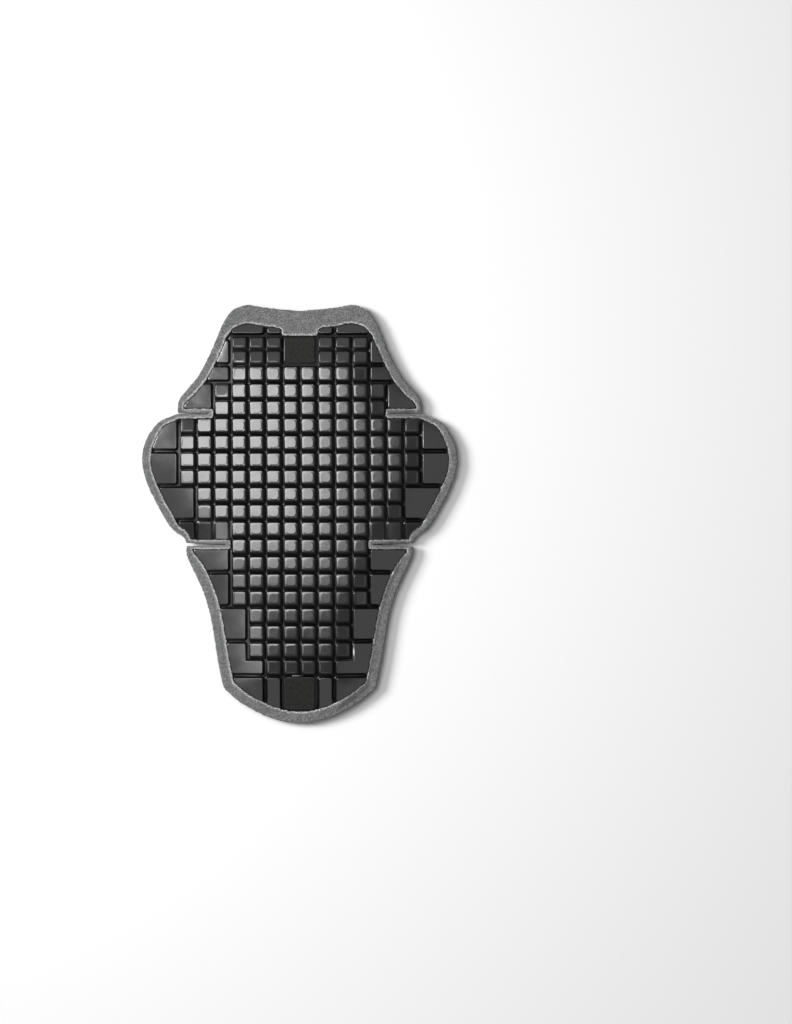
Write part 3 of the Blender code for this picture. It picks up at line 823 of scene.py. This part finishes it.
def big_tile(builder, face, key, hold):
    """A rim tile, band or low tile over one cell of the shell."""
    points = [vertex.co.xy for vertex in face.verts]
    carries_patch = key[-1] == "patch"
    hidden = PATCH_OVERHANG if carries_patch else 0.0
    widths = [(RIM_GAP if len(loop.edge.link_faces) == 1 else GROOVE_WIDTH / 2) + RIM_CORE + hidden
              for loop in face.loops]
    core = inset_corners(points, widths)
    if core is None:
        return
    plane = plane_under(core)
    share_bent = RIM_BEND
    if key[0] == "head":
        middle = sum(core, Vector((0.0, 0.0))) / len(core)
        slope = (CROWN_EDGE - CROWN_TOP) / HEAD_SHOULDER
        plane = np.array([on_plane(plane, middle) - slope * middle.y, 0.0, slope])
        share_bent = 0.0
    height = LOW_TILE_HEIGHT if key[0] == "low" else TILE_HEIGHT
    steps = list(rim_loops())
    rings = hold([grown(core, RIM_CORE - edge) for edge, _, _ in steps])
    loops = []
    for ring, (edge, share, drop) in zip(rings, steps):
        placed = []
        for point in ring:
            bend = float(crown(point.x, point.y))
            top = share_bent * bend + (1.0 - share_bent) * on_plane(plane, point)
            top -= TILE_HEIGHT - height
            if carries_patch:
                top = bend - PATCH_THICKNESS - CLEARANCE
            floor = bend - TILE_HEIGHT
            placed.append((point.x, point.y, floor + (top - floor) * share - drop))
        loops.append(builder.add(placed, 0.0 if share < 1.0 else 1.0))
    builder.wall(loops, len(RIM_WALL))
    top_loop = [builder.points[number][:2] for number in loops[-1]]
    made, faces, sources = triangles([top_loop], [])
    numbers = [loops[-1][source] for source in sources]
    builder.sheet(numbers, faces)
    builder.face(loops[0][::-1])


def tile_shell():
    """The moulded shell: a grooved skin with a tile over each cell."""
    builder = Builder()
    mesh = sheet(shell_half())
    widest = max(HALF_COLUMNS)
    cut(mesh, range(-widest, widest + 1), ROW_EDGES)
    keys = merge(mesh, tile_key)
    outline = anticlockwise(resampled(whole(shell_half()), SHELL_EDGE_SPACING))
    outline = moved_in(outline, CLEARANCE)
    hold = holder(outline)
    for face, key in keys.items():
        if key[0] == "tile":
            small_tile(builder, key[1], key[2], hold)
        else:
            big_tile(builder, face, key, hold)
    mesh.free()
    made, faces, sources = triangles([outline], field_inside(outline, SKIN_SPACING, 0.0015))
    x = np.array([v.x for v in made])
    y = np.array([v.y for v in made])
    floor = crown(x, y) - TILE_HEIGHT
    bottom = floor - SHELL_SKIN
    upper = builder.add(np.column_stack((x, y, floor)))
    lower = builder.add(np.column_stack((x, y, bottom)))
    # the skin between the tiles takes the groove slot's painted shade
    builder.slot = SHADED_GROOVE
    builder.sheet(upper, faces)
    builder.sheet(lower, faces, down=True)
    builder.ring(border(lower, sources, outline), border(upper, sources, outline))
    builder.slot = GLOSS
    gate_mark(builder)
    return builder


def gate_mark(builder):
    """The small scar of the mould's gate, in the groove above the foot patch."""
    y = ROW_EDGES[-1]
    floor = float(crown(0.0, y)) - TILE_HEIGHT
    loops = []
    for edge, lift in GATE_LOOPS:
        outline = rounded_box((GATE_LOW[0] + edge, y + GATE_LOW[1] + edge),
                              (GATE_HIGH[0] - edge, y + GATE_HIGH[1] - edge),
                              GATE_CORNER - edge * 0.8)
        loops.append(builder.add([(p.x, p.y, floor + lift) for p in outline], 1.0))
    builder.wall(loops)
    builder.face(loops[-1])
    builder.face(loops[0][::-1])


def smoothstep(value):
    """Soft step from 0 to 1."""
    value = np.clip(value, 0.0, 1.0)
    return value * value * (3.0 - 2.0 * value)


def back_level(distance):
    """Height of the back's surface at one distance from the pad's edge."""
    run = (np.asarray(distance) - FLANGE_FLAT) / (FLANGE_RUN - FLANGE_FLAT)
    return PANEL_LEVEL + (FLANGE_LIFT - PANEL_LEVEL) * (1.0 - smoothstep(run))


def rounding(distance, width, depth):
    """How far a rounded edge lies below its surface, at one distance from its border."""
    fall = 1.0 - np.clip(distance / width, 0.0, 1.0)
    return depth * (1.0 - np.sqrt(np.clip(1.0 - fall ** 2, 0.0, 1.0)))


def ragged(loop, amount):
    """An outline made slightly uneven, as cut foam is."""
    points = [Vector(point) for point in loop]
    result = []
    for i, point in enumerate(points):
        along = (points[(i + 1) % len(points)] - points[i - 1]).normalized()
        normal = Vector((along.y, -along.x))
        near = min(abs(point.y - UPPER_SLIT), abs(point.y - LOWER_SLIT))
        share = SLIT_WAVE if near < SLIT_SIDE else 1.0
        wave = share * amount * rough(point.x, point.y, 0, WAVE_SIZE, 2)
        result.append(tuple(point + normal * wave))
    return result


def foam_front(builder, outline):
    """The foam's front with its lip and its bed. Returns the numbers of the outline's points."""
    pocket = anticlockwise(resampled(whole(shell_half()), POCKET_SPACING))
    pocket = ragged(pocket, POCKET_WAVE)
    pocket_foot = moved_in(pocket, 0.0002)
    to_outline = nearest(outline)
    to_pocket = nearest(pocket)
    band = np.array(scattered(outline, BAND_SPACING))
    band = band[inside(band, outline)]
    band = band[~inside(band, pocket)]
    band = band[(to_outline(band) > 0.0005) & (to_pocket(band) > 0.0005)]
    bed = field_inside(pocket, BED_SPACING, 0.002)
    made, faces, sources = triangles(
        [outline, pocket, pocket_foot], [tuple(point) for point in band] + bed)
    bed_start = len(outline) + len(pocket)
    bed_end = bed_start + len(pocket_foot)
    bed_points = bed_end + len(band)
    in_bed = np.array([s >= bed_points or bed_start <= s < bed_end for s in sources])

    x = np.array([vertex.x for vertex in made])
    y = np.array([vertex.y for vertex in made])
    places = list(zip(x, y))
    distance = to_outline(places)
    lip = to_pocket(places)
    front = crown(x, y) - CROWN_EDGE + FLANGE_LIFT + FLANGE_THICKNESS
    front -= rounding(distance, FRONT_ROUND, FRONT_DROP)
    front -= SLOPE_DROP * (1.0 - smoothstep(distance / FRONT_SLOPE)) ** 2
    near = np.minimum(np.abs(y - UPPER_SLIT), np.abs(y - LOWER_SLIT))
    lip_strength = 1.0 - SLIT_FADE * np.exp(-(near / SLIT_REACH) ** 2)
    bead = LIP_HEIGHT * lip_strength * np.exp(-(lip / LIP_WIDTH) ** 2)
    for i in range(len(front)):
        front[i] += NAP_HEIGHT * rough(x[i], y[i], 0.3, NAP_SIZE, 2)
        front[i] += bead[i] * (0.5 + 1.2 * rough(x[i], y[i], 0.7, LIP_GRAIN, 2))
    front[in_bed] = crown(x, y)[in_bed] - TILE_HEIGHT - SHELL_SKIN - CLEARANCE
    # pale line along the lip: pale frayed fibres with a painted highlight where they catch the
    # light
    fray_and_highlight = lip_strength * np.exp(-(lip / LIP_MARK) ** 2)
    fray_and_highlight[in_bed] = 0.0
    upper = builder.add(np.column_stack((x, y, front)), fray_and_highlight.tolist())
    builder.sheet(upper, faces)
    return border(upper, sources, outline)


def foam_back(builder, outline, to_edge):
    """The foam under the back's panels. Returns the numbers of the outline's points."""
    made, faces, sources = triangles([outline], field_inside(outline, BACK_SPACING, 0.0015))
    places = [(vertex.x, vertex.y) for vertex in made]
    level = back_level(to_edge(places)) + PANEL_GROOVE_DEPTH
    level = np.minimum(level, FLANGE_LIFT + UNDER_PANELS)
    lower = builder.add([(x, y, z) for (x, y), z in zip(places, level)])
    builder.sheet(lower, faces, down=True)
    return border(lower, sources, outline)


def foam_pad():
    """The foam: its front, its back with the panels, and the slightly bulged edge between."""
    builder = Builder()
    whole_pad = anticlockwise(whole(pad_half()))
    outline = ragged(anticlockwise(resampled(whole_pad, OUTLINE_SPACING)), OUTLINE_WAVE)
    to_edge = nearest(anticlockwise(whole(HEAD_PATH + WING_PATH + FOOT_PATH)))
    rim = foam_front(builder, outline)
    under = foam_back(builder, outline, to_edge)
    loops = [under]
    centre = [Vector(point) for point in outline]
    for share in EDGE_LOOPS:
        out = EDGE_BULGE * math.sin(math.pi * share)
        ring = []
        for i, point in enumerate(centre):
            along = (centre[(i + 1) % len(centre)] - centre[i - 1]).normalized()
            z0 = builder.points[under[i]][2]
            z1 = builder.points[rim[i]][2]
            ring.append((point.x + along.y * out, point.y - along.x * out, z0 + (z1 - z0) * share))
        loops.append(builder.add(ring))
    builder.wall(loops + [rim])
    back_panels(builder, to_edge)
    return builder


def back_cells():
    """The back cut into its panels and its field of studs: the mesh, and each face's key."""
    mesh = sheet(pad_half())
    widest = max(HALF_COLUMNS)
    columns = list(range(-widest, widest + 1)) + [-LABEL_COLUMNS, LABEL_COLUMNS]
    cut(mesh, columns, ROW_EDGES + [LABEL_END])
    return mesh, merge(mesh, panel_key)


def back_panels(builder, to_edge):
    """The back's felt-like panels, each with a soft edge beside its groove."""
    mesh, keys = back_cells()
    for face, key in keys.items():
        if key == ("studs",):
            continue
        points = [vertex.co.xy for vertex in face.verts]
        inner_border = PANEL_GROOVE_WIDTH / 2 + PANEL_CORNER
        widths = [PANEL_BORDER if len(loop.edge.link_faces) == 1 else inner_border
                  for loop in face.loops]
        core = inset_corners(points, widths)
        if core:
            back_panel(builder, core, key == ("label",), to_edge)
    mesh.free()


def back_panel(builder, core, is_label, to_edge):
    """One panel of the back round a core outline. The label's place is level and smooth."""
    edge_loop = anticlockwise(resampled(
        [tuple(point) for point in grown(core, PANEL_CORNER)], PANEL_SPACING * 0.8))
    rings = [point for inset in PANEL_LOOPS for point in moved_in(edge_loop, inset)]
    field = field_inside(edge_loop, PANEL_SPACING, PANEL_MARGIN)
    made, faces, sources = triangles([edge_loop], rings + field)
    places = [(vertex.x, vertex.y) for vertex in made]
    own = nearest(edge_loop)(places)
    level = np.zeros(len(places)) if is_label else back_level(to_edge(places))
    level = level + rounding(own, PANEL_ROUND, PANEL_DROP)
    nap = PANEL_NAP * (LABEL_NAP if is_label else 1.0)
    for i, (x, y) in enumerate(places):
        level[i] += nap * rough(x, y, 2.0, PANEL_NAP_SIZE, 2)
    level = np.maximum(level, 0.0)
    # paler along the panel's rounded edge, at half the lip's strength: pale fibres with a painted
    # highlight
    fray_and_highlight = np.exp(-(own / 0.0005) ** 2) * 0.5
    lower = builder.add([(x, y, z) for (x, y), z in zip(places, level)], fray_and_highlight.tolist())
    builder.sheet(lower, faces, down=True)
    rim = border(lower, sources, edge_loop)
    top = builder.add([(x, y, builder.points[n][2] + PANEL_GROOVE_DEPTH + PANEL_OVERLAP)
                       for n, (x, y) in zip(rim, edge_loop)])
    builder.ring(rim, top)
    builder.face(top)


def stud_field():
    """The rubber layer in the back: a thin plate with a round stud in each half pitch."""
    builder = Builder()
    mesh, keys = back_cells()
    for face, key in keys.items():
        if key != ("studs",):
            continue
        points = [vertex.co.xy for vertex in face.verts]
        loop = inset_corners(points, [STUD_GAP] * len(points))
        outline = anticlockwise([tuple(p) for p in loop])
        made, faces, sources = triangles([outline], [])
        low = builder.add([(v.x, v.y, STUD_HEIGHT) for v in made])
        high = builder.add([(v.x, v.y, STUD_HEIGHT + STUD_PLATE) for v in made])
        builder.sheet(low, faces, down=True)
        builder.sheet(high, faces)
        builder.ring(border(low, sources, outline), border(high, sources, outline))
    mesh.free()
    for row in range(1, LAST_ROW + 1):
        height = ROW_EDGES[row - 1] - ROW_EDGES[row]
        for half_row in (0, 1):
            y = ROW_EDGES[row] + height * (half_row + 0.5) / 2
            for half_column in range(-2 * HALF_COLUMNS[row], 2 * HALF_COLUMNS[row]):
                x = (half_column + 0.5) * TILE_PITCH / 2
                if panel_key(x, y) == ("studs",):
                    stud(builder, x, y)
    return builder


def stud(builder, x, y):
    """One round stud that points down."""
    loops = []
    angles = [2 * math.pi * i / STUD_SIDES for i in range(STUD_SIDES)]
    for radius, z in STUD_LOOPS:
        loops.append(builder.add([
            (x + radius * math.cos(angle), y + radius * math.sin(angle), z) for angle in angles]))
    builder.wall(loops[::-1])
    tip = builder.add([(x, y, 0.0)])[0]
    last = loops[-1]
    for i in range(STUD_SIDES):
        builder.face((last[(i + 1) % STUD_SIDES], last[i], tip))
    builder.face(loops[0])


def patch(name):
    """A matte pad with a fine grain and a small bevel, over one patch of the solids."""
    builder = Builder()
    low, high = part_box(name)
    slope = -1 if low.y > 0 else 1
    y0, y1 = low.y, high.y

    def top(y):
        share = (y - y0) / (y1 - y0)
        span = high.z - low.z - PATCH_THICKNESS
        return low.z + PATCH_THICKNESS + span * (share if slope > 0 else 1.0 - share)

    loops = []
    for edge, drop in PATCH_LOOPS:
        outline = rounded_box(
            (low.x + edge, y0 + edge), (high.x - edge, y1 - edge), PATCH_CORNER - edge)
        loops.append(builder.add([(p.x, p.y, top(p.y) - drop) for p in outline], 1.0))
    builder.wall(loops)
    builder.face(loops[0][::-1])
    outline = [builder.points[n][:2] for n in loops[-1]]
    made, faces, sources = triangles([outline], field_inside(outline, GRAIN_SPACING, 0.0004))
    numbers = []
    for vertex, source in zip(made, sources):
        if source < len(outline):
            numbers.append(loops[-1][source])
        else:
            z = top(vertex.y) + GRAIN_HEIGHT * rough(vertex.x, vertex.y, 0.0, GRAIN_SIZE, 2)
            numbers += builder.add([(vertex.x, vertex.y, z)])
    builder.sheet(numbers, faces)
    return builder


def node(tree, kind, **inputs):
    """Add a shader node and set its inputs."""
    made = tree.nodes.new(kind)
    for name, value in inputs.items():
        made.inputs[name.replace("_", " ")].default_value = value
    return made


def grey(value):
    """A grey colour."""
    return (value, value, value)


def new_material(name, colour, roughness):
    """A node material with its shader and a place for textures."""
    material = bpy.data.materials.new(name)
    material.use_nodes = True
    tree = material.node_tree
    shader = tree.nodes["Principled BSDF"]
    shader.inputs["Base Color"].default_value = (*colour, 1.0)
    shader.inputs["Roughness"].default_value = roughness
    coordinates = tree.nodes.new("ShaderNodeTexCoord")
    return material, tree, shader, coordinates.outputs["Object"]


def ramp(tree, source, stops):
    """A colour ramp on one value. Each stop: place, colour."""
    made = tree.nodes.new("ShaderNodeValToRGB")
    elements = made.color_ramp.elements
    while len(elements) < len(stops):
        elements.new(0.5)
    for element, (place, colour) in zip(elements, stops):
        element.position = place
        element.color = (*colour, 1.0)
    tree.links.new(source, made.inputs["Fac"])
    return made.outputs["Color"]


def mixed(tree, blend, fac, first, second):
    """Mix two colours. Each is a socket or a colour."""
    made = tree.nodes.new("ShaderNodeMix")
    made.data_type = "RGBA"
    made.blend_type = blend
    for socket, value in ((made.inputs[0], fac), (made.inputs[6], first), (made.inputs[7], second)):
        if isinstance(value, bpy.types.NodeSocket):
            tree.links.new(value, socket)
        else:
            socket.default_value = value
    return made.outputs[2]


def bumped(tree, shader, height, strength, distance):
    """Bump one height into the shader."""
    bump = node(tree, "ShaderNodeBump", Strength=strength, Distance=distance)
    tree.links.new(height, bump.inputs["Height"])
    tree.links.new(bump.outputs["Normal"], shader.inputs["Normal"])


def foam_material():
    """Grey felt-like foam: a fine speckle, fuzzy bump, and a pale cut lip and pale panel edges,
    partly pale frayed fibres and partly a painted highlight.
    """
    material, tree, shader, place = new_material("grey_foam_felt", (0.13, 0.132, 0.134), 0.95)
    fine = node(tree, "ShaderNodeTexNoise", Scale=800.0, Detail=2.0, Roughness=0.6)
    coarse = node(tree, "ShaderNodeTexNoise", Scale=160.0, Detail=2.0)
    for texture in (fine, coarse):
        tree.links.new(place, texture.inputs["Vector"])
    speckle = ramp(tree, fine.outputs["Fac"], (
        (0.34, (0.054, 0.055, 0.056)), (0.50, (0.098, 0.099, 0.099)),
        (0.66, (0.165, 0.165, 0.164))))
    shade = ramp(tree, coarse.outputs["Fac"], ((0.3, (0.88, 0.88, 0.89)), (0.7, grey(1.0))))
    body = mixed(tree, "MULTIPLY", 1.0, speckle, shade)
    # pale colour along the lip and the back panels' edges: pale frayed fibres and a painted
    # highlight
    lip = tree.nodes.new("ShaderNodeAttribute")
    lip.attribute_name = "fray_and_highlight"
    fray_and_highlight_colour = ramp(tree, fine.outputs["Fac"], (
        (0.38, grey(0.09)), (0.62, (0.46, 0.46, 0.45))))
    colour = mixed(tree, "MIX", lip.outputs["Fac"], body, fray_and_highlight_colour)
    tree.links.new(colour, shader.inputs["Base Color"])
    shader.inputs["Sheen Weight"].default_value = 0.15
    shader.inputs["Specular IOR Level"].default_value = 0.2
    bumped(tree, shader, fine.outputs["Fac"], 0.45, 0.0005)
    return material


def shell_material():
    """Glossy black moulded plastic with a faint orange peel."""
    material, tree, shader, place = new_material("black_shell_gloss", (0.004, 0.004, 0.0038), 0.2)
    peel = node(tree, "ShaderNodeTexNoise", Scale=260.0, Detail=2.0)
    haze = node(tree, "ShaderNodeTexNoise", Scale=45.0, Detail=3.0)
    for texture in (peel, haze):
        tree.links.new(place, texture.inputs["Vector"])
    roughness = ramp(tree, haze.outputs["Fac"], (
        (0.35, grey(0.16)), (0.70, grey(0.23))))
    tree.links.new(roughness, shader.inputs["Roughness"])
    shader.inputs["Specular IOR Level"].default_value = 1.0
    bumped(tree, shader, peel.outputs["Fac"], 0.05, 0.0004)
    return material


def shaded_groove_material():
    """The same plastic in the grooves, darker and less reflective: painted shade where light
    reaches the grooves less.
    """
    # darker base colour and weaker reflection than the tile tops' plastic: painted shade in the
    # grooves
    material, tree, shader, place = new_material("black_shell_groove_painted_shade", grey(0.002), 0.3)
    peel = node(tree, "ShaderNodeTexNoise", Scale=320.0, Detail=2.0)
    tree.links.new(place, peel.inputs["Vector"])
    shader.inputs["Specular IOR Level"].default_value = 0.35
    bumped(tree, shader, peel.outputs["Fac"], 0.05, 0.0003)
    return material


def stud_material():
    """Dark green-black rubber with a soft gloss."""
    material, tree, shader, place = new_material("stud_rubber_dark", (0.010, 0.017, 0.018), 0.30)
    dust = node(tree, "ShaderNodeTexNoise", Scale=420.0, Detail=3.0)
    tree.links.new(place, dust.inputs["Vector"])
    colour = ramp(tree, dust.outputs["Fac"], (
        (0.40, (0.008, 0.014, 0.015)), (0.75, (0.020, 0.030, 0.031))))
    tree.links.new(colour, shader.inputs["Base Color"])
    bumped(tree, shader, dust.outputs["Fac"], 0.15, 0.0003)
    return material


def patch_material():
    """Matte dark cloth-like grain."""
    material, tree, shader, place = new_material("matte_patch_grain", grey(0.014), 0.9)
    grain = node(tree, "ShaderNodeTexNoise", Scale=1100.0, Detail=3.0, Roughness=0.7)
    tree.links.new(place, grain.inputs["Vector"])
    colour = ramp(tree, grain.outputs["Fac"], (
        (0.38, grey(0.002)), (0.62, (0.020, 0.020, 0.019))))
    tree.links.new(colour, shader.inputs["Base Color"])
    shader.inputs["Specular IOR Level"].default_value = 0.2
    bumped(tree, shader, grain.outputs["Fac"], 0.7, 0.0005)
    return material


def dress(piece, nodes):
    """Ride a piece on the body, in place of its solids."""
    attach(piece, "root")
    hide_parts(*nodes)
    return piece


dress(tile_shell().object("tile_shell", shell_material(), shaded_groove_material()),
      ["front_shell"])
foam = dress(foam_pad().object("foam_pad", foam_material()), ["foam_base"])
dress(stud_field().object("stud_field", stud_material()), ["stud_layer"])
grain = patch_material()
for patch_name in ("head_patch", "foot_patch"):
    dress(patch(patch_name).object(patch_name + "_grain", grain), [patch_name])


def floor_material():
    """Plain white paper."""
    material, _, shader, _ = new_material("floor_paper", grey(0.6), 0.9)
    shader.inputs["Specular IOR Level"].default_value = 0.1
    return material


def make_floor():
    """A wide pale floor."""
    mesh = bpy.data.meshes.new("floor")
    corners = ((-1, -1), (1, -1), (1, 1), (-1, 1))
    mesh.from_pydata([(x * FLOOR_REACH, y * FLOOR_REACH, 0.0) for x, y in corners],
                     [], [(0, 1, 2, 3)])
    mesh.materials.append(floor_material())
    floor = bpy.data.objects.new("floor", mesh)
    bpy.context.scene.collection.objects.link(floor)


def area_light(name, place, target, size, radiance):
    """A soft panel light that faces a target, with its brightness as seen in a mirror."""
    data = bpy.data.lights.new(name, "AREA")
    data.shape = "RECTANGLE"
    data.size, data.size_y = size
    data.energy = radiance * math.pi * size[0] * size[1]
    lamp = bpy.data.objects.new(name, data)
    lamp.location = place
    lamp.rotation_euler = (Vector(target) - Vector(place)).to_track_quat("-Z", "Y").to_euler()
    lamp.visible_camera = False
    bpy.context.scene.collection.objects.link(lamp)


def make_camera():
    """The photograph's view: from straight above, with the object left of the middle."""
    data = bpy.data.cameras.new("camera")
    data.sensor_width = CAMERA_SENSOR
    data.lens = CAMERA_SENSOR * (CAMERA_PLACE[2] - VIEW_LEVEL) / VIEW_HEIGHT
    camera = bpy.data.objects.new("camera", data)
    camera.location = CAMERA_PLACE
    bpy.context.scene.collection.objects.link(camera)
    bpy.context.scene.camera = camera


make_floor()
make_camera()
for name, place, target, size, radiance in LIGHTS:
    area_light(name, place, target, size, radiance)
for number, (x, y) in enumerate(FILL_SIDES):
    area_light(f"fill_{number}", (x * FILL_REACH, y * FILL_REACH, FILL_HEIGHT), (0.0, 0.0, 0.0),
               FILL_SIZE, FILL_BRIGHTNESS)

world = bpy.data.worlds.new("studio")
bpy.context.scene.world = world
world.use_nodes = True
world.node_tree.nodes["Background"].inputs["Color"].default_value = (1.0, 1.0, 1.0, 1.0)
world.node_tree.nodes["Background"].inputs["Strength"].default_value = WORLD_STRENGTH
bpy.context.scene.view_settings.view_transform = "Standard"
